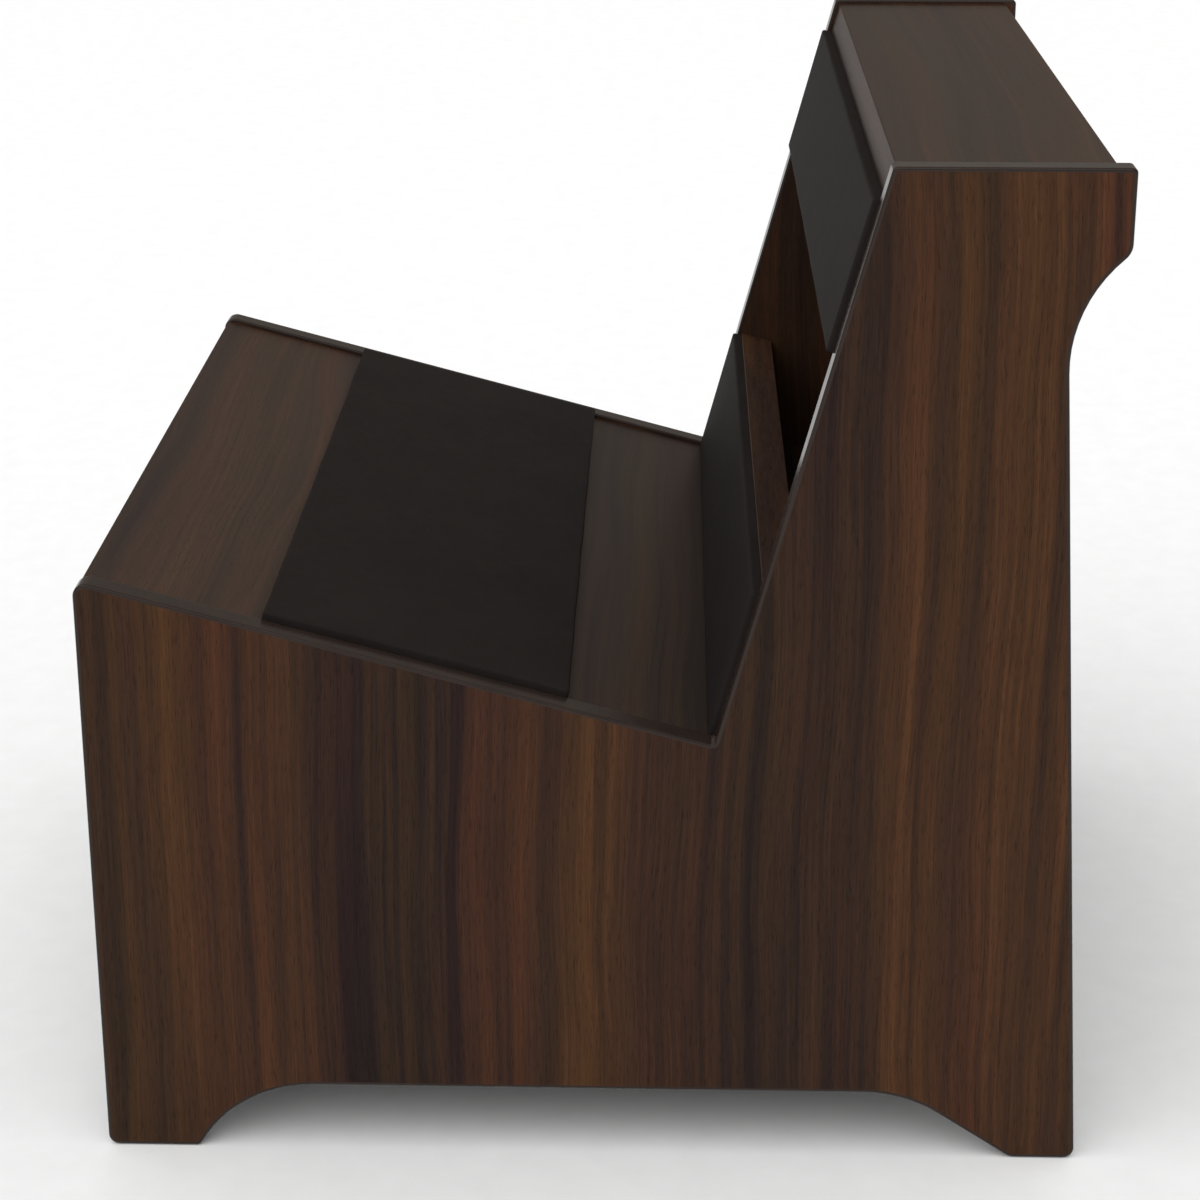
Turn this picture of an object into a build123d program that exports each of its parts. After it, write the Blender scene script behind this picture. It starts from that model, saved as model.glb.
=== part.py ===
from build123d import *
from math import sin, cos, tan, radians
import os

os.makedirs("parts", exist_ok=True)

# ---------------------------------------------------------------- driving dimensions (mm)
total_width = 711.0        # 28 in over both side panels
depth = 733.0              # front edge to rear edge of a side panel
height = 762.0             # 30 in
panel_thk = 19.0           # side panels
board_thk = 28.5           # seat, back and top boards
sheet_thk = 19.0           # front panel, rear panel, shelf
recess = 4.0               # boards sit this far inside the panel edges
cap = 2.8                  # crown of the edge moulding
cap_round = 1.9            # rounding of the moulding's lips
barb_depth, barb_thk = 6.0, 1.6

seat_angle = 15.0          # seat slopes down to the back, back leans the same angle
seat_front_z = 460.6       # panel seat edge at the very front
corner_y = 456.8           # where the seat edge meets the back edge
corner_z = seat_front_z - corner_y * tan(radians(seat_angle))
arch_z = 54.1              # top of the arch between the feet
arch_r = 101.0             # 4 in
front_arch_y = 159.0       # where the front arch arc starts
rear_arch_y = 572.4        # where the rear arch arc starts
rear_foot_y = 684.3        # inner corner of the rear foot
foot_slope = 33.7          # straight part of the rear arch, degrees
cove_y, cove_z, cove_r = 796.1, 624.4, 101.1
rear_lean = 3.5            # rear edge, degrees from vertical

gap_low, gap_high = 114.0, 299.0    # open gap in the back, along the back from the corner
pad_gap = 1.0                       # between a pad's end and the side panel
seat_pad_s = (-337.3, -109.6)       # along the seat, measured from the corner
seat_pad_thk = 10.0
low_pad_n = (-3.6, 113.2)           # along the back, measured from the corner
high_pad_n = (298.3, 410.2)
back_pad_thk = 9.0
cover_thk, backer_thk, hem = 1.0, 4.0, 14.0
cover_side = 2.2                    # the cover is gathered double at the pad's sides
band_thk = 1.0
shelf_top_z = 336.0
top_rear_gap = 9.5                  # top board stops this far inside the panel's rear edge

dowel_r, dowel_in_panel, dowel_in_board = 4.0, 10.0, 20.0
cam_r, cam_dist = 7.5, 34.0
screw_r, screw_head_r = 2.0, 4.0

# ---------------------------------------------------------------- derived values
inner_half = total_width / 2 - panel_thk
half_w = total_width / 2
pad_half = inner_half - pad_gap
sa, ca = sin(radians(seat_angle)), cos(radians(seat_angle))
y0 = depth / 2             # the row's origin is the middle of the footprint


def Y(v):
    """Distance from the front edge to the row's Y."""
    return v - y0


# The slope frame: local x runs down the seat to the back, local y runs up the back.
slope = Plane(origin=(0, Y(corner_y), corner_z), x_dir=(0, ca, -sa), z_dir=(1, 0, 0))


def slope_at(s, n):
    """(Y, Z) in the row frame of a point given in the slope frame."""
    return (Y(corner_y) + s * ca + n * sa, corner_z - s * sa + n * ca)


def under_seat(y):
    """Height of the seat board's underside at a distance y from the front."""
    return seat_front_z - y * tan(radians(seat_angle)) - (recess + board_thk) / ca


def rear_line(z):
    """Distance from the front of the panel's rear edge at height z."""
    return rear_foot_end - z * tan(radians(rear_lean))


top_z = height - recess                      # top surface of the top board
top_under_z = top_z - board_thk
back_top_y = corner_y + (height - corner_z) * sa / ca
# rear edge: a line at rear_lean that is tangent to the cove's arc
cove_tan_y = cove_y - cove_r * cos(radians(rear_lean))
cove_tan_z = cove_z - cove_r * sin(radians(rear_lean))
rear_foot_end = cove_tan_y + cove_tan_z * tan(radians(rear_lean))
cove_top_dz = (cove_r ** 2 - (cove_y - depth) ** 2) ** 0.5
# front arch: arc from the arch's top down to the floor
front_foot_end = front_arch_y - (arch_r ** 2 - (arch_r - arch_z) ** 2) ** 0.5
# rear arch: arc down to foot_slope, then straight to the floor
fs = radians(foot_slope)
rear_arc_y = rear_arch_y + arch_r * sin(fs)
rear_arc_z = arch_z - arch_r * (1 - cos(fs))
rear_foot_in = rear_arc_y + rear_arc_z / tan(fs)

# ---------------------------------------------------------------- side panel outline
with BuildSketch(Plane.YZ) as outline:
    with BuildLine():
        Line((Y(0), 0), (Y(0), seat_front_z))
        Line((Y(0), seat_front_z), (Y(corner_y), corner_z))
        Line((Y(corner_y), corner_z), (Y(back_top_y), height))
        Line((Y(back_top_y), height), (Y(depth), height))
        Line((Y(depth), height), (Y(depth), cove_z + cove_top_dz))
        ThreePointArc(
            (Y(depth), cove_z + cove_top_dz),
            (Y(cove_y - cove_r * cos(radians(25))), cove_z + cove_r * sin(radians(25))),
            (Y(cove_tan_y), cove_tan_z),
        )
        Line((Y(cove_tan_y), cove_tan_z), (Y(rear_foot_end), 0))
        Line((Y(rear_foot_end), 0), (Y(rear_foot_in), 0))
        Line((Y(rear_foot_in), 0), (Y(rear_arc_y), rear_arc_z))
        ThreePointArc(
            (Y(rear_arc_y), rear_arc_z),
            (Y(rear_arch_y + arch_r * sin(fs / 2)), arch_z - arch_r * (1 - cos(fs / 2))),
            (Y(rear_arch_y), arch_z),
        )
        Line((Y(rear_arch_y), arch_z), (Y(front_arch_y), arch_z))
        ThreePointArc(
            (Y(front_arch_y), arch_z),
            (Y(front_arch_y - arch_r * sin(radians(30))), arch_z - arch_r * (1 - cos(radians(30)))),
            (Y(front_foot_end), 0),
        )
        Line((Y(front_foot_end), 0), (Y(0), 0))
    make_face()

    def corner(y, z):
        """The outline's vertex at a given place."""
        return outline.vertices().sort_by_distance(Vector(Y(y), z, 0))[0]

    fillet(corner(0, 0), 8.0)
    fillet(corner(0, seat_front_z), 9.5)
    fillet(corner(corner_y, corner_z), 3.2)
    fillet(corner(back_top_y, height), 4.0)
    fillet(corner(depth, height), 3.6)
    fillet(corner(depth, cove_z + cove_top_dz), 14.0)
    fillet(corner(rear_foot_end, 0), 8.0)
    fillet(corner(rear_foot_in, 0), 12.0)
    fillet(corner(front_foot_end, 0), 4.5)

with BuildSketch(Plane.YZ) as core_outline:
    add(outline.sketch_local)
    offset(amount=-cap, kind=Kind.INTERSECTION)

with BuildSketch(Plane.YZ) as barb_ring:
    add(core_outline.sketch_local)
    with BuildSketch(Plane.YZ, mode=Mode.PRIVATE) as barb_inner:
        add(core_outline.sketch_local)
        offset(amount=-barb_depth, kind=Kind.INTERSECTION)
    add(barb_inner.sketch_local, mode=Mode.SUBTRACT)

with BuildSketch(Plane.YZ) as cap_ring:
    add(outline.sketch_local)
    add(core_outline.sketch_local, mode=Mode.SUBTRACT)

# ---------------------------------------------------------------- joints between boards and panels
# Each board: bolt points, dowel points (row Y and Z at the board's mid-thickness),
# the way its cam nuts face (the hidden side), and its thickness.
mid = recess + board_thk / 2
shelf_mid_z = shelf_top_z - sheet_thk / 2


def rear_mid(z):
    return (Y(rear_line(z) - recess - sheet_thk / 2), z)


joints = [
    ([slope_at(-350, -mid), slope_at(-95, -mid)],
     [slope_at(-410, -mid), slope_at(-222, -mid), slope_at(-35, -mid)], (0, -sa, -ca), board_thk),
    ([slope_at(mid, 36), slope_at(mid, 90)],
     [slope_at(mid, -12), slope_at(mid, 63)], (0, ca, -sa), board_thk),
    ([slope_at(mid, 322), slope_at(mid, 380)],
     [slope_at(mid, 351)], (0, ca, -sa), board_thk),
    ([(Y(630), top_z - board_thk / 2), (Y(695), top_z - board_thk / 2)],
     [(Y(590), top_z - board_thk / 2), (Y(662), top_z - board_thk / 2)], (0, 0, -1), board_thk),
    ([(Y(recess + sheet_thk / 2), 120), (Y(recess + sheet_thk / 2), 350)],
     [(Y(recess + sheet_thk / 2), 80), (Y(recess + sheet_thk / 2), 235)], (0, 1, 0), sheet_thk),
    ([rear_mid(120), rear_mid(420), rear_mid(660)],
     [rear_mid(80), rear_mid(230), rear_mid(540)],
     (0, -cos(radians(rear_lean)), -sin(radians(rear_lean))), sheet_thk),
    ([(Y(560), shelf_mid_z), (Y(640), shelf_mid_z)],
     [(Y(520), shelf_mid_z), (Y(600), shelf_mid_z)], (0, 0, -1), sheet_thk),
]
bolt_points = [p for j in joints for p in j[0]]
dowel_points = [p for j in joints for p in j[1]]

# One cam bolt: euro thread into the panel (+X), shank and head into the board (-X).
with BuildPart(mode=Mode.PRIVATE) as one_bolt:
    with BuildSketch(Plane.XZ):
        with BuildLine():
            Polyline(
                (11.0, 0), (11.0, 1.6), (9.8, 2.5), (0.0, 2.5), (0.0, 3.4), (-1.6, 3.4), (-1.6, 3.0),
                (-28.5, 3.0), (-29.5, 1.6), (-31.5, 1.6), (-32.3, 2.6), (-34.5, 2.6), (-35.3, 1.6),
                (-35.3, 0), (11.0, 0),
            )
        make_face()
    revolve(axis=Axis.X)

with BuildPart() as cam_bolts:
    with Locations(*[Location((inner_half, p[0], p[1])) for p in bolt_points]):
        add(one_bolt.part)
    with Locations(*[Location((-inner_half, p[0], p[1]), (0, 0, 180)) for p in bolt_points]):
        add(one_bolt.part)

# Cam nuts: short cylinders let into the hidden face, with a cross slot in the open face.
cam_planes = [
    (Plane(
        origin=Vector(side * (inner_half - cam_dist), p[0], p[1]) + Vector(*facing) * (thk / 2),
        x_dir=(1, 0, 0),
        z_dir=facing,
    ), thk)
    for bolts, dowels_here, facing, thk in joints for side in (1, -1) for p in bolts
]

with BuildPart() as cam_pockets:
    for face_plane, thk in cam_planes:
        with BuildSketch(face_plane):
            Circle(cam_r)
        extrude(amount=-(thk / 2 + 4.0))

with BuildPart() as cam_nuts:
    add(cam_pockets.part)
    for face_plane, thk in cam_planes:
        with BuildSketch(face_plane):
            Rectangle(8.0, 1.4)
            Rectangle(1.4, 8.0)
        extrude(amount=-2.5, mode=Mode.SUBTRACT)
    add(cam_bolts.part, mode=Mode.SUBTRACT)

with BuildPart() as dowels:
    with Locations(*[
        Location((side * (inner_half + dowel_in_panel - (dowel_in_panel + dowel_in_board) / 2), p[0], p[1]), (0, 90, 0))
        for p in dowel_points for side in (1, -1)
    ]):
        Cylinder(dowel_r, dowel_in_panel + dowel_in_board)
    chamfer(dowels.edges().filter_by(GeomType.CIRCLE), 0.8)

# ---------------------------------------------------------------- side panels and mouldings
with BuildPart() as side_panel_left:
    with BuildSketch(Plane.YZ.offset(inner_half)):
        add(core_outline.sketch_local)
    extrude(amount=panel_thk)
    with BuildSketch(Plane.YZ.offset(half_w - panel_thk / 2 - barb_thk / 2)):
        add(barb_ring.sketch_local)
    extrude(amount=barb_thk, mode=Mode.SUBTRACT)
    add(dowels.part, mode=Mode.SUBTRACT)
    add(cam_bolts.part, mode=Mode.SUBTRACT)

with BuildPart() as side_panel_right:
    add(side_panel_left.part.mirror(Plane.YZ))

with BuildPart() as edge_moulding_left:
    with BuildSketch(Plane.YZ.offset(inner_half)):
        add(cap_ring.sketch_local)
    extrude(amount=panel_thk)
    lip_faces = (
        edge_moulding_left.faces().filter_by(Axis.X).sort_by(Axis.X)
    )
    outer_lips = [f.outer_wire().edges() for f in (lip_faces[0], lip_faces[-1])]
    fillet(outer_lips[0] + outer_lips[1], cap_round)
    with BuildSketch(Plane.YZ.offset(half_w - panel_thk / 2 - barb_thk / 2)):
        add(barb_ring.sketch_local)
    extrude(amount=barb_thk)

with BuildPart() as edge_moulding_right:
    add(edge_moulding_left.part.mirror(Plane.YZ))

# ---------------------------------------------------------------- screws behind the pads
# One screw: head on the hidden face, running along +Z into the pad's backer.
screw_len = board_thk + backer_thk + cover_thk - 1.0
with BuildPart(mode=Mode.PRIVATE) as one_screw:
    with BuildSketch(Plane.XZ):
        with BuildLine():
            Polyline(
                (0, 0), (screw_head_r, 0.0), (screw_head_r, 0.5), (screw_r, 2.8),
                (screw_r, screw_len - 3.0), (0.5, screw_len), (0, screw_len), (0, 0),
            )
        make_face()
    revolve(axis=Axis.Z)

screw_x = (-250.0, 0.0, 250.0)
screw_planes = [
    Plane(origin=(x, *slope_at(s, -(recess + board_thk))), x_dir=(1, 0, 0), z_dir=(0, sa, ca))
    for s in (-300.0, -147.0) for x in screw_x
] + [
    Plane(origin=(x, *slope_at(recess + board_thk, n)), x_dir=(1, 0, 0), z_dir=(0, -ca, sa))
    for n in (58.0, 354.0) for x in screw_x
]

with BuildPart() as screw_holes:
    for place in screw_planes:
        with Locations(place.location):
            add(one_screw.part)

# The screws themselves have a cross recess in the head.
with BuildPart() as pad_screws:
    add(screw_holes.part)
    for place in screw_planes:
        with BuildSketch(place):
            Rectangle(4.4, 0.9)
            Rectangle(0.9, 4.4)
        extrude(amount=1.4, mode=Mode.SUBTRACT)

# ---------------------------------------------------------------- boards
with BuildPart() as seat_board:
    with BuildSketch(Plane.YZ):
        with BuildLine():
            front = recess + band_thk
            Polyline(
                (Y(front), under_seat(front)),
                slope_at(recess, -(recess + board_thk)),
                slope_at(recess, -recess),
                (Y(front), under_seat(front) + board_thk / ca),
                close=True,
            )
        make_face()
    extrude(amount=inner_half, both=True)
    add(dowels.part, mode=Mode.SUBTRACT)
    add(cam_bolts.part, mode=Mode.SUBTRACT)
    add(cam_pockets.part, mode=Mode.SUBTRACT)
    add(screw_holes.part, mode=Mode.SUBTRACT)

with BuildPart() as seat_front_band:
    with BuildSketch(Plane.YZ):
        with BuildLine():
            Polyline(
                (Y(recess), under_seat(recess)),
                (Y(recess + band_thk), under_seat(recess + band_thk)),
                (Y(recess + band_thk), under_seat(recess + band_thk) + board_thk / ca),
                (Y(recess), under_seat(recess) + board_thk / ca),
                close=True,
            )
        make_face()
    extrude(amount=inner_half, both=True)

low_end = -(recess + board_thk)
with BuildPart() as lower_back_board:
    with BuildSketch(slope):
        with Locations((recess + board_thk / 2, (low_end + gap_low - band_thk) / 2)):
            Rectangle(board_thk, gap_low - band_thk - low_end)
    extrude(amount=inner_half, both=True)
    add(dowels.part, mode=Mode.SUBTRACT)
    add(cam_bolts.part, mode=Mode.SUBTRACT)
    add(cam_pockets.part, mode=Mode.SUBTRACT)
    add(screw_holes.part, mode=Mode.SUBTRACT)

with BuildPart() as lower_back_top_band:
    with BuildSketch(slope):
        with Locations((recess + board_thk / 2, gap_low - band_thk / 2)):
            Rectangle(board_thk, band_thk)
    extrude(amount=inner_half, both=True)
    fillet(lower_back_top_band.edges().filter_by(Axis.X).sort_by(Axis.Z)[-1], 0.8)

with BuildPart() as upper_back_board:
    with BuildSketch(Plane.YZ):
        with BuildLine():
            n_top_front = (top_under_z - corner_z + recess * sa) / ca
            n_top_rear = (top_under_z - corner_z + (recess + board_thk) * sa) / ca
            Polyline(
                slope_at(recess, gap_high + band_thk),
                slope_at(recess + board_thk, gap_high + band_thk),
                slope_at(recess + board_thk, n_top_rear),
                slope_at(recess, n_top_front),
                close=True,
            )
        make_face()
    extrude(amount=inner_half, both=True)
    add(dowels.part, mode=Mode.SUBTRACT)
    add(cam_bolts.part, mode=Mode.SUBTRACT)
    add(cam_pockets.part, mode=Mode.SUBTRACT)
    add(screw_holes.part, mode=Mode.SUBTRACT)

with BuildPart() as upper_back_bottom_band:
    with BuildSketch(slope):
        with Locations((recess + board_thk / 2, gap_high + band_thk / 2)):
            Rectangle(board_thk, band_thk)
    extrude(amount=inner_half, both=True)


def back_face_y(z, s):
    """Row Y, at height z, of the plane that lies s behind the back edge."""
    return slope_at(s, (z - corner_z + s * sa) / ca)[0]


with BuildPart() as top_board:
    with BuildSketch(Plane.YZ):
        with BuildLine():
            Polyline(
                (back_face_y(top_under_z, recess + band_thk), top_under_z),
                (Y(depth - top_rear_gap - band_thk), top_under_z),
                (Y(depth - top_rear_gap - band_thk), top_z),
                (back_face_y(top_z, recess + band_thk), top_z),
                close=True,
            )
        make_face()
    extrude(amount=inner_half, both=True)
    add(dowels.part, mode=Mode.SUBTRACT)
    add(cam_bolts.part, mode=Mode.SUBTRACT)
    add(cam_pockets.part, mode=Mode.SUBTRACT)

with BuildPart() as top_front_band:
    with BuildSketch(Plane.YZ):
        with BuildLine():
            Polyline(
                (back_face_y(top_under_z, recess), top_under_z),
                (back_face_y(top_under_z, recess + band_thk), top_under_z),
                (back_face_y(top_z, recess + band_thk), top_z),
                (back_face_y(top_z, recess), top_z),
                close=True,
            )
        make_face()
    extrude(amount=inner_half, both=True)

with BuildPart() as top_rear_band:
    with BuildSketch(Plane.YZ):
        with Locations((Y(depth - top_rear_gap - band_thk / 2), top_z - board_thk / 2)):
            Rectangle(band_thk, board_thk)
    extrude(amount=inner_half, both=True)

with BuildPart() as front_panel:
    with BuildSketch(Plane.YZ):
        with BuildLine():
            Polyline(
                (Y(recess), arch_z + band_thk),
                (Y(recess + sheet_thk), arch_z + band_thk),
                (Y(recess + sheet_thk), under_seat(recess + sheet_thk)),
                (Y(recess), under_seat(recess)),
                close=True,
            )
        make_face()
    extrude(amount=inner_half, both=True)
    add(dowels.part, mode=Mode.SUBTRACT)
    add(cam_bolts.part, mode=Mode.SUBTRACT)
    add(cam_pockets.part, mode=Mode.SUBTRACT)

with BuildPart() as front_panel_bottom_band:
    with BuildSketch(Plane.YZ):
        with Locations((Y(recess + sheet_thk / 2), arch_z + band_thk / 2)):
            Rectangle(sheet_thk, band_thk)
    extrude(amount=inner_half, both=True)

with BuildPart() as rear_panel:
    with BuildSketch(Plane.YZ):
        with BuildLine():
            Polyline(
                (Y(rear_line(arch_z + band_thk) - recess), arch_z + band_thk),
                (Y(rear_line(top_under_z) - recess), top_under_z),
                (Y(rear_line(top_under_z) - recess - sheet_thk), top_under_z),
                (Y(rear_line(arch_z + band_thk) - recess - sheet_thk), arch_z + band_thk),
                close=True,
            )
        make_face()
    extrude(amount=inner_half, both=True)
    add(dowels.part, mode=Mode.SUBTRACT)
    add(cam_bolts.part, mode=Mode.SUBTRACT)
    add(cam_pockets.part, mode=Mode.SUBTRACT)

with BuildPart() as rear_panel_bottom_band:
    with BuildSketch(Plane.YZ):
        with BuildLine():
            Polyline(
                (Y(rear_line(arch_z) - recess), arch_z),
                (Y(rear_line(arch_z + band_thk) - recess), arch_z + band_thk),
                (Y(rear_line(arch_z + band_thk) - recess - sheet_thk), arch_z + band_thk),
                (Y(rear_line(arch_z) - recess - sheet_thk), arch_z),
                close=True,
            )
        make_face()
    extrude(amount=inner_half, both=True)

with BuildPart() as shelf_board:
    with BuildSketch(Plane.YZ):
        with BuildLine():
            shelf_low = shelf_top_z - sheet_thk
            Polyline(
                (back_face_y(shelf_top_z, recess + board_thk), shelf_top_z),
                (Y(rear_line(shelf_top_z) - recess - sheet_thk), shelf_top_z),
                (Y(rear_line(shelf_low) - recess - sheet_thk), shelf_low),
                (back_face_y(shelf_low, recess + board_thk), shelf_low),
                close=True,
            )
        make_face()
    extrude(amount=inner_half, both=True)
    add(dowels.part, mode=Mode.SUBTRACT)
    add(cam_bolts.part, mode=Mode.SUBTRACT)
    add(cam_pockets.part, mode=Mode.SUBTRACT)

# ---------------------------------------------------------------- pads
# Each pad is a cover folded round a foam sheet and a plywood backer. The pad's own plane
# has its origin on the board's face, local x across the bench, local y along the pad.
seat_face = Plane(origin=(0, *slope_at(sum(seat_pad_s) / 2, -recess)), x_dir=(1, 0, 0), z_dir=(0, sa, ca))
low_face = Plane(origin=(0, *slope_at(recess, sum(low_pad_n) / 2)), x_dir=(1, 0, 0), z_dir=(0, -ca, sa))
high_face = Plane(origin=(0, *slope_at(recess, sum(high_pad_n) / 2)), x_dir=(1, 0, 0), z_dir=(0, -ca, sa))
seat_len = seat_pad_s[1] - seat_pad_s[0]
low_len = low_pad_n[1] - low_pad_n[0]
high_len = high_pad_n[1] - high_pad_n[0]
staple_w, staple_wire, staple_leg = 9.0, 0.7, 3.0


def make_pad(face, length, thk):
    """Cover, foam and backer of one pad."""
    with BuildPart() as cover:
        with BuildSketch(face):
            RectangleRounded(2 * pad_half, length, 2.0)
        extrude(amount=thk)
        fillet(cover.faces().sort_by(lambda f: f.center().dot(face.z_dir))[-1].edges(), 1.8)
        with BuildSketch(face.offset(cover_thk)):
            Rectangle(2 * (pad_half - cover_side), length - 2 * cover_side)
        extrude(amount=thk - 2 * cover_thk, mode=Mode.SUBTRACT)
        with BuildSketch(face):
            Rectangle(2 * (pad_half - hem), length - 2 * hem)
        extrude(amount=cover_thk, mode=Mode.SUBTRACT)
    with BuildPart() as foam:
        with BuildSketch(face.offset(cover_thk + backer_thk)):
            Rectangle(2 * (pad_half - cover_side), length - 2 * cover_side)
        extrude(amount=thk - 2 * cover_thk - backer_thk)
    with BuildPart() as backer:
        with BuildSketch(face.offset(cover_thk)):
            Rectangle(2 * (pad_half - cover_side), length - 2 * cover_side)
        extrude(amount=backer_thk)
        add(screw_holes.part, mode=Mode.SUBTRACT)
        add(pad_staples.part, mode=Mode.SUBTRACT)
    with BuildPart() as stapled_cover:
        add(cover.part)
        add(pad_staples.part, mode=Mode.SUBTRACT)
    return stapled_cover, foam, backer


# Staples: each crown lies under the cover's hem, its legs go up into the backer.
with BuildPart() as pad_staples:
    for face, length in ((seat_face, seat_len), (low_face, low_len), (high_face, high_len)):
        for side in (1, -1):
            for x in (-300.0, -180.0, -60.0, 60.0, 180.0, 300.0):
                spot = face.origin + face.y_dir * (side * (length / 2 - hem / 2)) + face.x_dir * x
                crown = Plane(origin=spot, x_dir=face.x_dir, z_dir=face.y_dir)
                with BuildSketch(crown):
                    with BuildLine():
                        Polyline(
                            (-staple_w / 2, 0), (staple_w / 2, 0),
                            (staple_w / 2, -(cover_thk + staple_leg)), (staple_w / 2 - staple_wire, -(cover_thk + staple_leg)),
                            (staple_w / 2 - staple_wire, -staple_wire), (-staple_w / 2 + staple_wire, -staple_wire),
                            (-staple_w / 2 + staple_wire, -(cover_thk + staple_leg)), (-staple_w / 2, -(cover_thk + staple_leg)),
                            close=True,
                        )
                    make_face()
                extrude(amount=staple_wire / 2, both=True)

seat_pad_cover, seat_pad_foam, seat_pad_backer = make_pad(seat_face, seat_len, seat_pad_thk)
lower_back_pad_cover, lower_back_pad_foam, lower_back_pad_backer = make_pad(low_face, low_len, back_pad_thk)
upper_back_pad_cover, upper_back_pad_foam, upper_back_pad_backer = make_pad(high_face, high_len, back_pad_thk)

# ---------------------------------------------------------------- labels and export
pieces = {
    "side_panel_left": side_panel_left,
    "side_panel_right": side_panel_right,
    "edge_moulding_left": edge_moulding_left,
    "edge_moulding_right": edge_moulding_right,
    "seat_board": seat_board,
    "seat_front_band": seat_front_band,
    "lower_back_board": lower_back_board,
    "lower_back_top_band": lower_back_top_band,
    "upper_back_board": upper_back_board,
    "upper_back_bottom_band": upper_back_bottom_band,
    "top_board": top_board,
    "top_front_band": top_front_band,
    "top_rear_band": top_rear_band,
    "front_panel": front_panel,
    "front_panel_bottom_band": front_panel_bottom_band,
    "rear_panel": rear_panel,
    "rear_panel_bottom_band": rear_panel_bottom_band,
    "shelf_board": shelf_board,
    "seat_pad_cover": seat_pad_cover,
    "seat_pad_foam": seat_pad_foam,
    "seat_pad_backer": seat_pad_backer,
    "lower_back_pad_cover": lower_back_pad_cover,
    "lower_back_pad_foam": lower_back_pad_foam,
    "lower_back_pad_backer": lower_back_pad_backer,
    "upper_back_pad_cover": upper_back_pad_cover,
    "upper_back_pad_foam": upper_back_pad_foam,
    "upper_back_pad_backer": upper_back_pad_backer,
    "cam_bolts": cam_bolts,
    "cam_nuts": cam_nuts,
    "dowels": dowels,
    "pad_screws": pad_screws,
    "pad_staples": pad_staples,
}
for label, piece in pieces.items():
    piece.part.label = label
    export_step(piece.part, f"parts/{label}.step")
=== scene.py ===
import bpy
import bmesh
import math
import random
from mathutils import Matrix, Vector, noise


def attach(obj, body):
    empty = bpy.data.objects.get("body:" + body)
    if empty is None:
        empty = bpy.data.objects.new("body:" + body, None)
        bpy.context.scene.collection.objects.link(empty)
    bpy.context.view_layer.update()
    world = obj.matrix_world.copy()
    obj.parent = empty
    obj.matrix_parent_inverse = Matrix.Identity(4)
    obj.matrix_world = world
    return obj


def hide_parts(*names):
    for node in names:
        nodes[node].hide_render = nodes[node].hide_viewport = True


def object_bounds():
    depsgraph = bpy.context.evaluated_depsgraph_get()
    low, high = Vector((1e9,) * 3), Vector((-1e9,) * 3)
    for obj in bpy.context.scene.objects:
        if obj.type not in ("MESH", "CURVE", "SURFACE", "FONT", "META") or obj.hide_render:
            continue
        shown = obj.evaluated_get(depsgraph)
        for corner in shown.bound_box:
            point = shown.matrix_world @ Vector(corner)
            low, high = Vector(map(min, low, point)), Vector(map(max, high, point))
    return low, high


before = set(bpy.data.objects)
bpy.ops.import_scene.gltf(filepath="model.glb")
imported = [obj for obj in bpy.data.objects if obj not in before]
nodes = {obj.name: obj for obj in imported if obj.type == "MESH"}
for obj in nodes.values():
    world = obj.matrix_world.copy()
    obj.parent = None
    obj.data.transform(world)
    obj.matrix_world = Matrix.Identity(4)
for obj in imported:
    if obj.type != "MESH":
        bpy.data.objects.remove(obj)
cad_lo, cad_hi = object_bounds()
random.seed(7)

SA, CA = math.sin(math.radians(15)), math.cos(math.radians(15))
ALONG = Vector((0, CA, -SA))      # down the seat, towards the back
UP = Vector((0, SA, CA))          # square to the seat, and up the back
ACROSS = Vector((1, 0, 0))
CORNER = Vector((0, 0.0903, 0.3382))   # where the seat edge meets the back edge


def at(s, n, x=0.0):
    """A point s metres down the seat line and n metres up from it, from the seat's corner."""
    return CORNER + ALONG * s + UP * n + ACROSS * x


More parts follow.
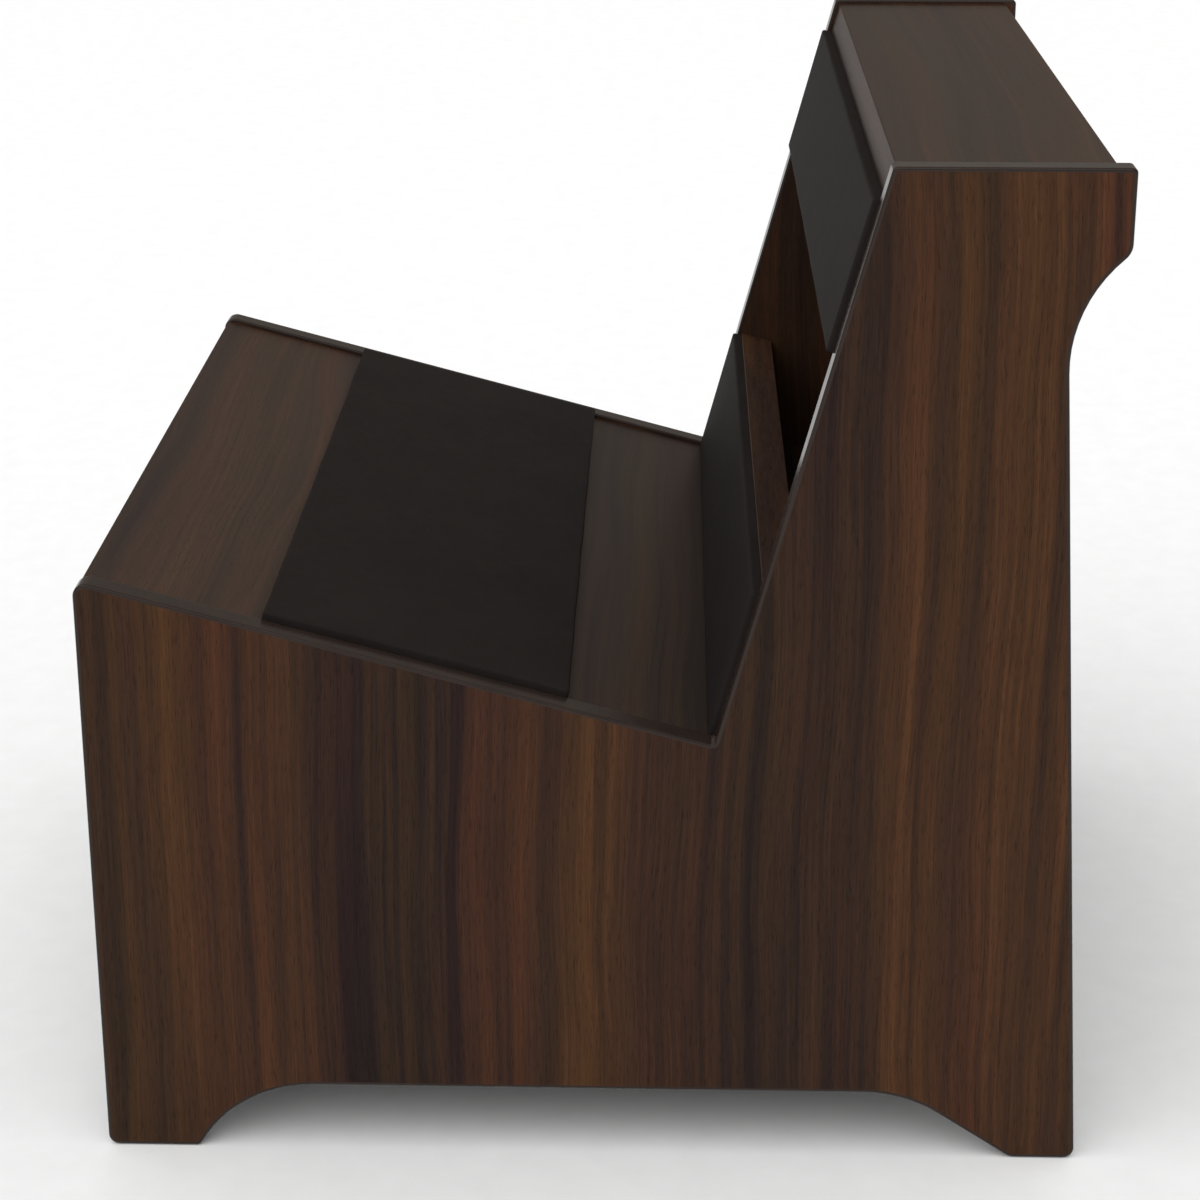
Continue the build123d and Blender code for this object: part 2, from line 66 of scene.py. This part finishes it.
# ------------------------------------------------------------------ node helpers
class Net:
    """Small helper that adds and links shader nodes."""

    def __init__(self, name):
        self.mat = bpy.data.materials.new(name)
        self.mat.use_nodes = True
        self.t = self.mat.node_tree
        self.t.nodes.clear()
        self.out = self.add("ShaderNodeOutputMaterial")
        self.bsdf = self.add("ShaderNodeBsdfPrincipled")
        self.link(self.bsdf.outputs[0], self.out.inputs["Surface"])
        self.coord = self.add("ShaderNodeTexCoord").outputs["Object"]

    def add(self, kind, **kw):
        n = self.t.nodes.new(kind)
        for k, v in kw.items():
            setattr(n, k, v)
        return n

    def link(self, a, b):
        self.t.links.new(a, b)

    def put(self, sock, v):
        if isinstance(v, bpy.types.NodeSocket):
            self.link(v, sock)
        else:
            sock.default_value = v

    def math(self, op, a, b=0.0, c=0.0, clamp=False):
        n = self.add("ShaderNodeMath", operation=op, use_clamp=clamp)
        self.put(n.inputs[0], a)
        self.put(n.inputs[1], b)
        if len(n.inputs) > 2:
            self.put(n.inputs[2], c)
        return n.outputs[0]

    def dot(self, v, d):
        n = self.add("ShaderNodeVectorMath", operation="DOT_PRODUCT")
        self.put(n.inputs[0], v)
        n.inputs[1].default_value = d
        return n.outputs["Value"]

    def xyz(self, x, y, z):
        n = self.add("ShaderNodeCombineXYZ")
        for i, v in enumerate((x, y, z)):
            self.put(n.inputs[i], v)
        return n.outputs[0]

    def noise(self, vec, scale=1.0, detail=3.0, rough=0.5, distortion=0.0):
        n = self.add("ShaderNodeTexNoise")
        self.link(vec, n.inputs["Vector"])
        n.inputs["Scale"].default_value = scale
        n.inputs["Detail"].default_value = detail
        n.inputs["Roughness"].default_value = rough
        n.inputs["Distortion"].default_value = distortion
        return n.outputs["Fac"]

    def ramp(self, fac, stops, mode="LINEAR"):
        n = self.add("ShaderNodeValToRGB")
        n.color_ramp.interpolation = mode
        self.put(n.inputs[0], fac)
        e = n.color_ramp.elements
        while len(e) > 1:
            e.remove(e[-1])
        e[0].position, e[0].color = stops[0][0], full(stops[0][1])
        for p, c in stops[1:]:
            k = e.new(p)
            k.color = full(c)
        return n.outputs["Color"]

    def mix(self, fac, a, b, blend="MIX"):
        n = self.add("ShaderNodeMix", data_type="RGBA", blend_type=blend)
        self.put(n.inputs[0], fac)
        self.put(n.inputs[6], full(a) if not isinstance(a, bpy.types.NodeSocket) else a)
        self.put(n.inputs[7], full(b) if not isinstance(b, bpy.types.NodeSocket) else b)
        return n.outputs[2]

    def bump(self, height, strength, distance, normal=None):
        n = self.add("ShaderNodeBump")
        n.inputs["Strength"].default_value = strength
        n.inputs["Distance"].default_value = distance
        self.link(height, n.inputs["Height"])
        if normal is not None:
            self.link(normal, n.inputs["Normal"])
        return n.outputs["Normal"]


def full(c):
    if isinstance(c, (int, float)):
        c = (c, c, c)
    return (*c[:3], 1.0)


def srgb(r, g, b):
    """Linear colour from 0-255 display values."""
    out = []
    for v in (r, g, b):
        v /= 255
        out.append(v / 12.92 if v <= 0.04045 else ((v + 0.055) / 1.055) ** 2.4)
    return tuple(out)


# ------------------------------------------------------------------ materials
def walnut(name, grain, side, thick, seed=0.0, figure_and_shade=None, lo=0.0, hi=1.0, gain=1.0, rough=0.5, spec=0.2, cathedral=0.0, contrast=1.0):
    """Dark walnut laminate. grain runs along the board, side across it, thick through it."""
    m = Net(name)
    g, u, v = m.dot(m.coord, grain), m.dot(m.coord, side), m.dot(m.coord, thick)

    def layer(across, along, through, shift, detail, rough_, cu):
        return m.noise(m.xyz(m.math("MULTIPLY_ADD", cu, across, seed + shift), m.math("MULTIPLY", v, through), m.math("MULTIPLY_ADD", g, along, shift * 0.37)), 1.0, detail, rough_)

    def spread(fac, k):
        return m.math("MULTIPLY_ADD", fac, k, -0.5 * k)

    # the grain drifts slowly sideways, and wavers a little
    drift = spread(layer(2.6, 1.5, 3.0, 2.2, 2.0, 0.5, u), 0.060)
    waver = spread(layer(30.0, 7.0, 8.0, 6.1, 2.0, 0.5, u), 0.0050)
    uw = m.math("ADD", u, drift)
    if cathedral:
        # a flat-sawn board: the growth rings arch along the middle
        arch = layer(5.0, 1.9, 3.0, 14.0, 1.0, 0.4, u)
        uw = m.math("ADD", uw, spread(arch, cathedral))
    uf = m.math("ADD", uw, waver)
    # broad bands of heartwood
    broad = spread(layer(10.0, 0.42, 4.0, 3.1, 2.0, 0.5, uw), 1.05)
    # a listed ramp of broad tones across the board; on the seat it also carries painted light and shade
    if figure_and_shade:
        t = m.math("DIVIDE", m.math("SUBTRACT", uw, lo), hi - lo, clamp=True)
        broad = m.math("MULTIPLY_ADD", broad, 0.50, spread(m.ramp(t, figure_and_shade, "EASE"), 0.80))
    streak = spread(layer(40.0, 0.9, 14.0, 9.7, 3.0, 0.55, uf), 0.92)
    fine = spread(layer(120.0, 1.6, 30.0, 4.4, 3.0, 0.6, uf), 0.52)
    lines = spread(layer(420.0, 3.6, 90.0, 1.3, 2.0, 0.6, uf), 0.34)
    tone = m.math("ADD", m.math("ADD", broad, streak), m.math("ADD", fine, lines))
    tone = m.math("MULTIPLY_ADD", tone, contrast, 0.51)
    k = gain
    col = m.ramp(tone, [
        (0.08, tuple(k * c for c in (0.0125, 0.0080, 0.0073))),
        (0.30, tuple(k * c for c in (0.0205, 0.0117, 0.0098))),
        (0.50, tuple(k * c for c in (0.0370, 0.0186, 0.0110))),
        (0.68, tuple(k * c for c in (0.0560, 0.0240, 0.0118))),
        (0.90, tuple(k * c for c in (0.0860, 0.0360, 0.0150))),
    ])
    # the light streaks lean to red in places and to gold in others
    hue = spread(layer(21.0, 0.9, 9.0, 17.0, 2.0, 0.5, uf), 3.2)
    col = m.mix(m.math("MULTIPLY", hue, 0.9, clamp=True), col, m.mix(1.0, col, (1.12, 0.88, 1.02), "MULTIPLY"))
    col = m.mix(m.math("MULTIPLY", hue, -0.9, clamp=True), col, m.mix(1.0, col, (0.98, 1.08, 0.86), "MULTIPLY"))
    # dark mineral streaks between the bands, hard on one side and soft on the other
    edge = layer(58.0, 0.75, 14.0, 27.0, 1.0, 0.5, uf)
    edge = m.math("FRACT", m.math("MULTIPLY", edge, 7.0))
    edge = m.math("MULTIPLY", m.math("SUBTRACT", edge, 0.55, clamp=True), 2.2, clamp=True)
    where = m.math("MULTIPLY", m.math("SUBTRACT", layer(16.0, 1.3, 6.0, 33.0, 2.0, 0.5, uf), 0.47, clamp=True), 5.0, clamp=True)
    col = m.mix(m.math("MULTIPLY", m.math("MULTIPLY", edge, where), 0.38), col, tuple(k * c for c in (0.0130, 0.0092, 0.0086)))
    # hairlines of the growth rings
    hair = layer(150.0, 1.1, 30.0, 21.0, 2.0, 0.5, uf)
    hair = m.math("ABSOLUTE", m.math("SUBTRACT", hair, 0.5))
    hair = m.math("SUBTRACT", 1.0, m.math("DIVIDE", hair, 0.020, clamp=True))
    hair = m.math("MULTIPLY", hair, m.math("MULTIPLY", m.math("ADD", lines, 0.05, clamp=True), 9.0, clamp=True))
    col = m.mix(m.math("MULTIPLY", hair, 0.42), col, tuple(k * c for c in (0.0100, 0.0068, 0.0062)))
    # fibres and pores
    fibre = m.noise(m.xyz(m.math("MULTIPLY_ADD", uf, 900.0, seed), m.math("MULTIPLY", v, 300.0), m.math("MULTIPLY", g, 30.0)), 1.0, 3.0, 0.6)
    pore = m.noise(m.xyz(m.math("MULTIPLY_ADD", uf, 1300.0, seed + 5.0), m.math("MULTIPLY", v, 500.0), m.math("MULTIPLY", g, 90.0)), 1.0, 1.0, 0.5)
    pore = m.math("MULTIPLY", m.math("SUBTRACT", pore, 0.58, clamp=True), 8.0, clamp=True)
    shade = m.math("MULTIPLY_ADD", fibre, 0.80, 0.60)
    shade = m.math("MULTIPLY", shade, m.math("MULTIPLY_ADD", pore, -0.32, 1.0))
    col = m.mix(1.0, col, m.xyz(shade, shade, shade), "MULTIPLY")
    m.link(col, m.bsdf.inputs["Base Color"])
    m.link(m.math("MULTIPLY_ADD", fibre, 0.14, rough - 0.07), m.bsdf.inputs["Roughness"])
    m.bsdf.inputs["Specular IOR Level"].default_value = spec
    # pressed texture of the laminate
    tick = m.noise(m.xyz(m.math("MULTIPLY", u, 1500.0), m.math("MULTIPLY", v, 1500.0), m.math("MULTIPLY", g, 420.0)), 1.0, 2.0, 0.5)
    height = m.math("SUBTRACT", m.math("ADD", m.math("MULTIPLY", fibre, 0.6), m.math("MULTIPLY", tick, 0.5)), m.math("MULTIPLY", pore, 0.7))
    m.link(m.bump(height, 0.45, 0.00012), m.bsdf.inputs["Normal"])
    return m.mat


def moulding(name):
    """Dark brown extruded edge moulding: fine haze and scuffs."""
    m = Net(name)
    cloud = m.noise(m.coord, 26.0, 4.0, 0.55)
    speck = m.noise(m.coord, 900.0, 2.0, 0.5)
    col = m.ramp(cloud, [(0.3, (0.0190, 0.0118, 0.0092)), (0.7, (0.0260, 0.0166, 0.0128))])
    m.link(m.mix(m.math("MULTIPLY", speck, 0.35), col, (0.027, 0.019, 0.015)), m.bsdf.inputs["Base Color"])
    scuff = m.noise(m.coord, 70.0, 3.0, 0.6)
    m.link(m.math("MULTIPLY_ADD", scuff, 0.12, 0.17), m.bsdf.inputs["Roughness"])
    m.bsdf.inputs["Specular IOR Level"].default_value = 0.21
    h = m.math("ADD", m.math("MULTIPLY", speck, 0.5), m.math("MULTIPLY", scuff, 0.5))
    m.link(m.bump(h, 0.10, 0.00005), m.bsdf.inputs["Normal"])
    return m.mat


def vinyl(name, seed=0.0):
    """Matt black upholstery vinyl with a fine pebble grain."""
    m = Net(name)
    cell = m.add("ShaderNodeTexVoronoi", feature="DISTANCE_TO_EDGE")
    warp = m.add("ShaderNodeVectorMath", operation="MULTIPLY_ADD")
    wob = m.add("ShaderNodeTexNoise")
    m.link(m.coord, wob.inputs["Vector"])
    wob.inputs["Scale"].default_value = 240.0
    m.link(wob.outputs["Color"], warp.inputs[0])
    warp.inputs[1].default_value = (0.0016, 0.0016, 0.0016)
    m.link(m.coord, warp.inputs[2])
    m.link(warp.outputs[0], cell.inputs["Vector"])
    cell.inputs["Scale"].default_value = 620.0
    valley = m.math("SUBTRACT", 1.0, m.math("MULTIPLY", cell.outputs["Distance"], 6.0, clamp=True))
    cloud = m.noise(m.coord, 14.0 + seed, 4.0, 0.6)
    mottle = m.noise(m.coord, 85.0, 3.0, 0.6)
    col = m.ramp(cloud, [(0.3, (0.0128, 0.0092, 0.0082)), (0.7, (0.0166, 0.0122, 0.0109))])
    col = m.mix(m.math("MULTIPLY", mottle, 0.4), col, (0.0080, 0.0062, 0.0058))
    # painted shade: the pebble grain's valleys are darkened in colour as well as sunk in the bump
    col = m.mix(m.math("MULTIPLY", valley, 0.35), col, (0.0040, 0.0032, 0.0030))
    m.link(col, m.bsdf.inputs["Base Color"])
    m.link(m.math("MULTIPLY_ADD", mottle, 0.12, 0.78), m.bsdf.inputs["Roughness"])
    m.bsdf.inputs["Specular IOR Level"].default_value = 0.20
    h = m.math("ADD", m.math("MULTIPLY", valley, -0.6), m.math("MULTIPLY", mottle, 0.3))
    m.link(m.bump(h, 0.6, 0.00016), m.bsdf.inputs["Normal"])
    return m.mat


def plain_wood(name, light, dark, grain, layers=False):
    m = Net(name)
    g = m.dot(m.coord, grain)
    v = m.noise(m.coord, 60.0, 4.0, 0.6)
    f = m.noise(m.xyz(m.math("MULTIPLY", m.dot(m.coord, (0, 1, 0)), 700.0), m.math("MULTIPLY", m.dot(m.coord, (0, 0, 1)), 700.0), m.math("MULTIPLY", g, 30.0)), 1.0, 3.0, 0.6)
    col = m.mix(f, dark, light)
    col = m.mix(m.math("MULTIPLY", v, 0.4), col, tuple(c * 0.7 for c in light))
    if layers:
        w = m.add("ShaderNodeTexWave", wave_type="BANDS", bands_direction="Z")
        m.link(m.coord, w.inputs["Vector"])
        w.inputs["Scale"].default_value = 240.0
        w.inputs["Distortion"].default_value = 0.6
        col = m.mix(m.math("MULTIPLY", w.outputs["Fac"], 0.4), col, dark)
    m.link(col, m.bsdf.inputs["Base Color"])
    m.link(m.math("MULTIPLY_ADD", f, 0.2, 0.55), m.bsdf.inputs["Roughness"])
    m.link(m.bump(f, 0.4, 0.00015), m.bsdf.inputs["Normal"])
    return m.mat


def metal(name, a, b, rough):
    m = Net(name)
    n = m.noise(m.coord, 420.0, 4.0, 0.6)
    m.link(m.mix(n, a, b), m.bsdf.inputs["Base Color"])
    m.bsdf.inputs["Metallic"].default_value = 1.0
    m.link(m.math("MULTIPLY_ADD", n, 0.3, rough), m.bsdf.inputs["Roughness"])
    m.link(m.bump(n, 0.3, 0.0001), m.bsdf.inputs["Normal"])
    return m.mat


def sponge(name):
    m = Net(name)
    n = m.noise(m.coord, 900.0, 3.0, 0.6)
    m.link(m.ramp(n, [(0.35, (0.32, 0.27, 0.16)), (0.6, (0.68, 0.62, 0.44))]), m.bsdf.inputs["Base Color"])
    m.link(m.math("MULTIPLY_ADD", n, 0.1, 0.85), m.bsdf.inputs["Roughness"])
    m.link(m.bump(n, 0.9, 0.0006), m.bsdf.inputs["Normal"])
    return m.mat


# light and dark heartwood bands over the depth of a side panel, front to rear
FIGURE = [
    (0.00, 0.42), (0.09, 0.66), (0.17, 0.52), (0.24, 0.42), (0.31, 0.38), (0.38, 0.48), (0.45, 0.64),
    (0.55, 0.62), (0.62, 0.46), (0.70, 0.42), (0.77, 0.50), (0.84, 0.72), (0.92, 0.70), (1.00, 0.60),
]
FRONT, REAR = cad_lo.y, cad_hi.y
Z3 = (0, 0, 1)
panel_l = walnut("walnut_panel_left", Z3, (0, 1, 0), (1, 0, 0), 0.0, FIGURE, FRONT, REAR, spec=0.07)
panel_r = walnut("walnut_panel_right", Z3, (0, 1, 0), (1, 0, 0), 40.0, FIGURE, FRONT - 0.12, REAR + 0.05, spec=0.07)
# the seat board is lighter towards the front edge and darker towards the back: partly the wood's figure, partly
# painted light on the front and painted shade towards the back, where the back board leans over the seat
SEAT_FIGURE_AND_SHADE = [(0.0, 0.58), (0.12, 0.70), (0.24, 0.58), (0.55, 0.42), (0.80, 0.24), (0.90, 0.28), (1.0, 0.06)]
S0 = CORNER.dot(ALONG)
seat_w = walnut("walnut_seat", (1, 0, 0), tuple(ALONG), tuple(UP), 11.0, SEAT_FIGURE_AND_SHADE, S0 - 0.44, S0, cathedral=0.03, contrast=0.62, spec=0.36)
low_w = walnut("walnut_lower_back", (1, 0, 0), tuple(UP), tuple(ALONG), 23.0, gain=1.35, contrast=0.8)
high_w = walnut("walnut_upper_back", (1, 0, 0), tuple(UP), tuple(ALONG), 31.0)
top_w = walnut("walnut_top", (1, 0, 0), (0, 1, 0), Z3, 57.0, cathedral=0.03, gain=1.0, contrast=0.5, spec=0.44)
front_w = walnut("walnut_front", (1, 0, 0), Z3, (0, 1, 0), 71.0, cathedral=0.05)
rear_w = walnut("walnut_rear", Z3, (1, 0, 0), (0, 1, 0), 83.0, cathedral=0.03)
# the shelf's walnut is darkened (gain 0.7): painted shade for the shadow inside the cabinet
shelf_w = walnut("walnut_shelf", (1, 0, 0), (0, 1, 0), Z3, 97.0, gain=0.7)
edge_m = moulding("edge_moulding")
vinyl_m = vinyl("black_vinyl")
ply_m = plain_wood("birch_plywood", (0.52, 0.36, 0.19), (0.36, 0.22, 0.10), (1, 0, 0), True)
beech_m = plain_wood("beech", (0.55, 0.33, 0.17), (0.40, 0.22, 0.10), (1, 0, 0))
zinc_m = metal("cast_zinc", (0.42, 0.42, 0.41), (0.58, 0.58, 0.57), 0.35)
steel_m = metal("plated_steel", (0.55, 0.55, 0.52), (0.72, 0.72, 0.70), 0.2)
foam_m = sponge("foam")

LOOK = {
    "side_panel_left": panel_l, "side_panel_right": panel_r,
    "edge_moulding_left": edge_m, "edge_moulding_right": edge_m,
    "seat_board": seat_w, "seat_front_band": seat_w,
    "lower_back_board": low_w, "lower_back_top_band": low_w,
    "upper_back_board": high_w, "upper_back_bottom_band": high_w,
    "top_board": top_w, "top_front_band": high_w, "top_rear_band": top_w,
    "front_panel": front_w, "front_panel_bottom_band": front_w,
    "rear_panel": rear_w, "rear_panel_bottom_band": rear_w,
    "shelf_board": shelf_w,
    "cam_bolts": steel_m, "pad_screws": steel_m, "pad_staples": steel_m, "cam_nuts": zinc_m,
    "dowels": beech_m,
}
for name, o in nodes.items():
    mat = LOOK.get(name)
    if mat is None:
        mat = foam_m if name.endswith("_foam") else ply_m if name.endswith("_backer") else vinyl_m
    o.data.materials.clear()
    o.data.materials.append(mat)


# ------------------------------------------------------------------ pads
def puff(o, free, pressure, cap):
    """Cloth simulation of the cover: the foam presses it out, the stapled hem stays put.

    free holds a 0-1 freedom per vertex; no point ends more than cap from where it began."""
    me = o.data
    start = [v.co.copy() for v in me.vertices]
    group = o.vertex_groups.new(name="held")
    for k, f in enumerate(free):
        group.add([k], 1.0 - f, "REPLACE")
    mod = o.modifiers.new("cloth", "CLOTH")
    c = mod.settings
    c.quality = 5
    c.mass = 0.35
    c.tension_stiffness = 35.0
    c.compression_stiffness = 35.0
    c.shear_stiffness = 18.0
    c.bending_stiffness = 1.5
    c.tension_damping = 12.0
    c.compression_damping = 12.0
    c.shear_damping = 12.0
    c.air_damping = 2.5
    c.vertex_group_mass = "held"
    c.pin_stiffness = 1.0
    c.use_pressure = True
    c.uniform_pressure_force = pressure
    c.effector_weights.gravity = 0.0
    mod.collision_settings.use_collision = False
    mod.collision_settings.use_self_collision = False
    sc = bpy.context.scene
    last = 14
    mod.point_cache.frame_start, mod.point_cache.frame_end = 1, last
    for fr in range(1, last + 1):
        sc.frame_set(fr)
    dg = bpy.context.evaluated_depsgraph_get()
    done = o.evaluated_get(dg).to_mesh()
    moved = [v.co.copy() for v in done.vertices]
    o.evaluated_get(dg).to_mesh_clear()
    o.modifiers.remove(mod)
    sc.frame_set(1)
    for v, a, b in zip(me.vertices, start, moved):
        d = b - a
        n = d.length
        v.co = a + d * (cap * math.tanh(n / cap) / n) if n > 1e-9 else a
    o.vertex_groups.clear()
    me.update()


def pad(name, cad_node, middle, run, out, half_x, length, thk, crown, seed):
    """A thin upholstered pad: vinyl pulled over foam round a flat backer.

    middle is on the board's face, run points along the pad, out points away from the board."""
    nx, ny, nz = 120, max(30, int(length / 0.0047)), 5
    r = 0.0019
    bm = bmesh.new()
    grid = {}
    free = []

    def place(i, j, k):
        """Vertex on the surface of an nx by ny by nz box of cells."""
        key = (i, j, k)
        if key in grid:
            return grid[key]
        a, b, c = 2 * i / nx - 1, 2 * j / ny - 1, k / nz
        # crowd the lines towards the edges so that the rounding is smooth
        a = math.copysign(1 - (1 - abs(a)) ** 1.55, a)
        b = math.copysign(1 - (1 - abs(b)) ** 1.50, b)
        x, y, z = a * half_x, b * length / 2, c * thk
        ix = max(-half_x + r, min(half_x - r, x))
        iy = max(-length / 2 + r, min(length / 2 - r, y))
        iz = max(0.0, min(thk - r, z))
        d = Vector((x - ix, y - iy, z - iz))
        if d.length > 1e-9:
            # rounded box: push the point out to the radius
            if z <= thk - r:
                d.z = 0
            d = d.normalized() * r if d.length > 1e-9 else d
            x, y, z = ix + d.x, iy + d.y, (iz if z <= thk - r else iz + d.z) if d.length else z
        ax, by = abs(x) / half_x, abs(y) / (length / 2)
        lift = max((1 - ax ** 12) * (1 - by ** 5), 0.0)
        w = noise.noise(Vector((x * 9 + seed, y * 11, seed))) * 0.00016 + noise.noise(Vector((x * 34, y * 34, seed + 4))) * 0.00005
        top = max(0.0, min(1.0, (z / thk - 0.45) / 0.55))
        z += top * (crown * lift + w)
        # the sides pull in a little between the corners, and pucker at each staple
        near_end, near_side = by ** 8, ax ** 40
        pull = 0.0005 * (1 - ax ** 4) * near_end
        pucker = 0.00020 * math.cos((x - 0.06) * 2 * math.pi / 0.12) * by ** 14
        low = min(1.0, z / thk * 1.6)
        y -= math.copysign(pull + pucker, y) * low
        x -= math.copysign(0.0004 * (1 - by ** 4) * near_side, x) * low
        p = middle + ACROSS * x + run * y + out * z
        grid[key] = bm.verts.new(p)
        free.append(max(0.0, min(1.0, (k / nz - 0.35) / 0.45)))
        return grid[key]

    def quads(cells):
        for q in cells:
            vs = [place(*v) for v in q]
            if len(set(vs)) == 4:
                bm.faces.new(vs)

    for i in range(nx):
        for j in range(ny):
            quads([((i, j, nz), (i + 1, j, nz), (i + 1, j + 1, nz), (i, j + 1, nz))])
            quads([((i, j, 0), (i, j + 1, 0), (i + 1, j + 1, 0), (i + 1, j, 0))])
    for i in range(nx):
        for k in range(nz):
            quads([((i, 0, k), (i + 1, 0, k), (i + 1, 0, k + 1), (i, 0, k + 1))])
            quads([((i, ny, k), (i, ny, k + 1), (i + 1, ny, k + 1), (i + 1, ny, k))])
    for j in range(ny):
        for k in range(nz):
            quads([((0, j, k), (0, j, k + 1), (0, j + 1, k + 1), (0, j + 1, k))])
            quads([((nx, j, k), (nx, j + 1, k), (nx, j + 1, k + 1), (nx, j, k + 1))])
    bmesh.ops.recalc_face_normals(bm, faces=bm.faces)
    mesh = bpy.data.meshes.new(name)
    bm.to_mesh(mesh)
    bm.free()
    for p in mesh.polygons:
        p.use_smooth = True
    o = bpy.data.objects.new(name, mesh)
    bpy.context.scene.collection.objects.link(o)
    mesh.materials.append(vinyl_m)
    puff(o, free, 2.2, 0.0011)
    sub = o.modifiers.new("smooth", "SUBSURF")
    sub.levels = sub.render_levels = 1
    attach(o, "root")
    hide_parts(cad_node)
    return o


HALF = 0.3355
pad("seat_pad", "seat_pad_cover", at(-0.22345, -0.004), ALONG, UP, HALF, 0.2277, 0.0095, 0.0006, 1.7)
pad("lower_back_pad", "lower_back_pad_cover", at(0.004, 0.0548), UP, -ALONG, HALF, 0.1168, 0.0082, 0.0005, 5.2)
pad("upper_back_pad", "upper_back_pad_cover", at(0.004, 0.35425), UP, -ALONG, HALF, 0.1119, 0.0086, 0.0005, 9.4)

# ------------------------------------------------------------------ floor, light, camera
fm = Net("floor")
grain_n = fm.noise(fm.coord, 30.0, 4.0, 0.6)
fm.link(fm.ramp(grain_n, [(0.3, (0.86, 0.86, 0.86)), (0.7, (0.89, 0.89, 0.89))]), fm.bsdf.inputs["Base Color"])
fm.link(fm.math("MULTIPLY_ADD", grain_n, 0.1, 0.8), fm.bsdf.inputs["Roughness"])
fm.bsdf.inputs["Specular IOR Level"].default_value = 0.1
bm = bmesh.new()
bmesh.ops.create_grid(bm, x_segments=8, y_segments=8, size=14.0)
floor_mesh = bpy.data.meshes.new("floor")
bm.to_mesh(floor_mesh)
bm.free()
floor = bpy.data.objects.new("floor", floor_mesh)
bpy.context.scene.collection.objects.link(floor)
floor_mesh.materials.append(fm.mat)
floor.location = (0, 0, -0.0004)

scene = bpy.context.scene
world = bpy.data.worlds.new("studio")
scene.world = world
world.use_nodes = True
wt = world.node_tree
bg = wt.nodes["Background"]
bg.inputs["Color"].default_value = (1.0, 1.0, 1.0, 1.0)
# a white cove behind the object, and a dimmer room for what lights it and mirrors in it
path = wt.nodes.new("ShaderNodeLightPath")


def blend_value(fac, a, b):
    n = wt.nodes.new("ShaderNodeMix")
    n.data_type = "FLOAT"
    wt.links.new(fac, n.inputs[0])
    for k, v in ((2, a), (3, b)):
        if isinstance(v, bpy.types.NodeSocket):
            wt.links.new(v, n.inputs[k])
        else:
            n.inputs[k].default_value = v
    return n.outputs[0]


ROOM, MIRRORED, SEEN = 0.84, 0.30, 1.0
tint = wt.nodes.new("ShaderNodeMix")
tint.data_type = "RGBA"
wt.links.new(path.outputs["Is Glossy Ray"], tint.inputs[0])
tint.inputs[6].default_value = (1.0, 1.0, 1.0, 1.0)
tint.inputs[7].default_value = (1.0, 0.93, 0.83, 1.0)
wt.links.new(tint.outputs[2], bg.inputs["Color"])
wt.links.new(blend_value(path.outputs["Is Camera Ray"], blend_value(path.outputs["Is Glossy Ray"], ROOM, MIRRORED), SEEN), bg.inputs["Strength"])


def sun(name, aim, strength, spread):
    d = bpy.data.lights.new(name, "SUN")
    d.energy = strength
    d.angle = math.radians(spread)
    o = bpy.data.objects.new(name, d)
    scene.collection.objects.link(o)
    o.rotation_euler = Vector(aim).to_track_quat("-Z", "Y").to_euler()
    return o


sun("key", (-0.50, 0.30, -0.81), 1.25, 70)

cam_d = bpy.data.cameras.new("camera")
cam = bpy.data.objects.new("camera", cam_d)
scene.collection.objects.link(cam)
scene.camera = cam
cam_d.sensor_width = 36.0
cam_d.lens = 36.0 * 2721.7 / 1200.0
cam_d.shift_y = -0.10
cam.location = (2.1406, 0.4219 - 0.3665, 1.1594)
yaw, pitch = math.radians(1.52), math.radians(19.14)
look = Vector((-math.cos(pitch) * math.cos(yaw), -math.cos(pitch) * math.sin(yaw), -math.sin(pitch)))
cam.rotation_euler = look.to_track_quat("-Z", "Y").to_euler()
cam_d.clip_start, cam_d.clip_end = 0.05, 60.0

scene.view_settings.view_transform = "Standard"
scene.view_settings.look = "None"
